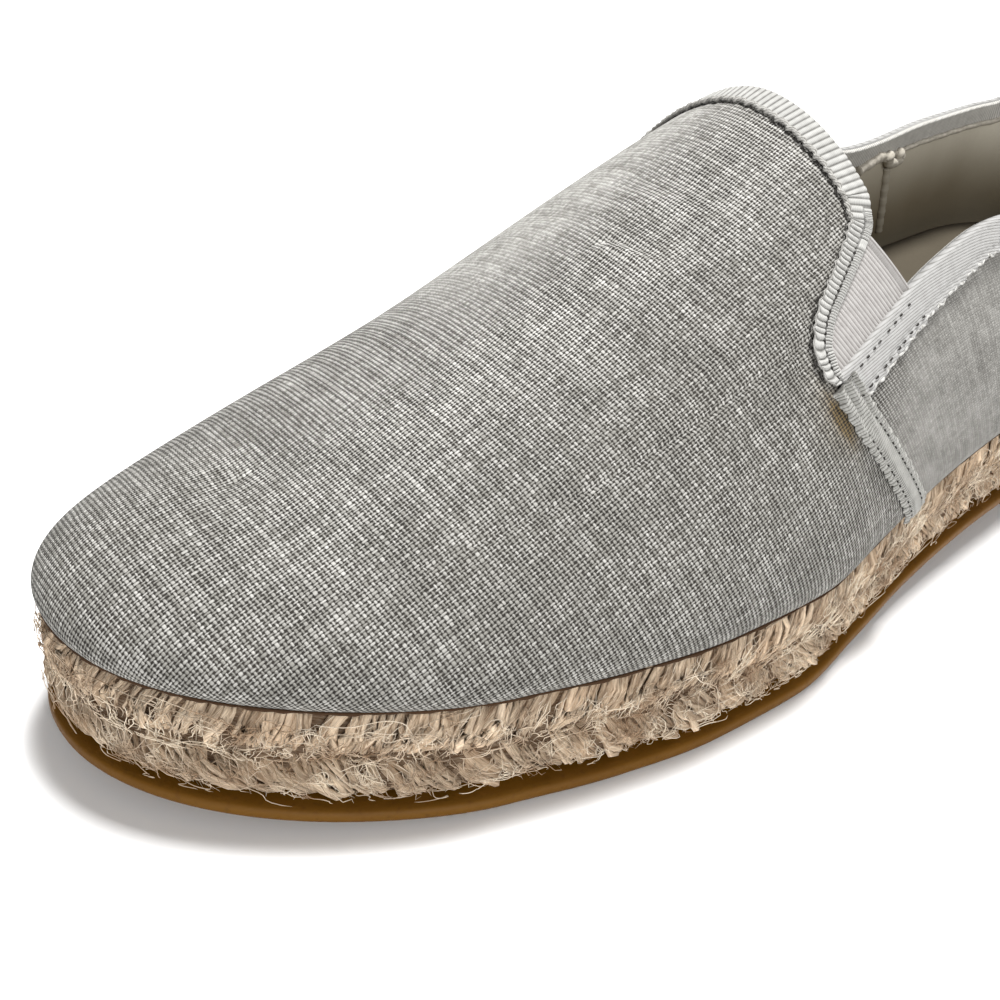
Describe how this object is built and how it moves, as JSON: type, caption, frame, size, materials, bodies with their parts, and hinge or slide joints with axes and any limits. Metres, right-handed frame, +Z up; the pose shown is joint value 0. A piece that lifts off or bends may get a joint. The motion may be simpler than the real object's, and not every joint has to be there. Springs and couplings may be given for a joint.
{
  "type": "espadrille",
  "caption": "Left slip-on espadrille with a grey-white canvas upper, white bindings, elastic side gores, a plaited jute platform and a thin gum-rubber sole with a heel pad",
  "frame": {"origin": "centre of the shoe's bounding box in plan, on the floor plane it stands on", "axes": "-Y points to the toe and +Y to the heel along the sole, +X is the outer side of the left foot, +Z is up"},
  "size_m": [0.0976, 0.2898, 0.0893],
  "materials": {
    "canvas": "plain-weave linen canvas of off-white and dark threads, matte",
    "ribbed_tape": "off-white grosgrain tape with ribs across it",
    "twill_tape": "smooth off-white twill tape, stitched",
    "elastic": "fine-ribbed off-white elastic",
    "sock_cloth": "plain beige-grey sock lining",
    "plaited_jute": "coarse plaited jute with loose fibres",
    "gum_rubber": "tan gum rubber, satin"
  },
  "bodies": {
    "root": {"outsole": "gum_rubber", "heel_pad": "gum_rubber", "jute_midsole": "plaited_jute", "insole": "sock_cloth", "upper": "canvas", "vamp_binding": "ribbed_tape", "quarter_binding": "twill_tape", "gore_left": "elastic", "gore_right": "elastic", "strip_left": "ribbed_tape", "strip_right": "ribbed_tape"}
  },
  "joints": []
}
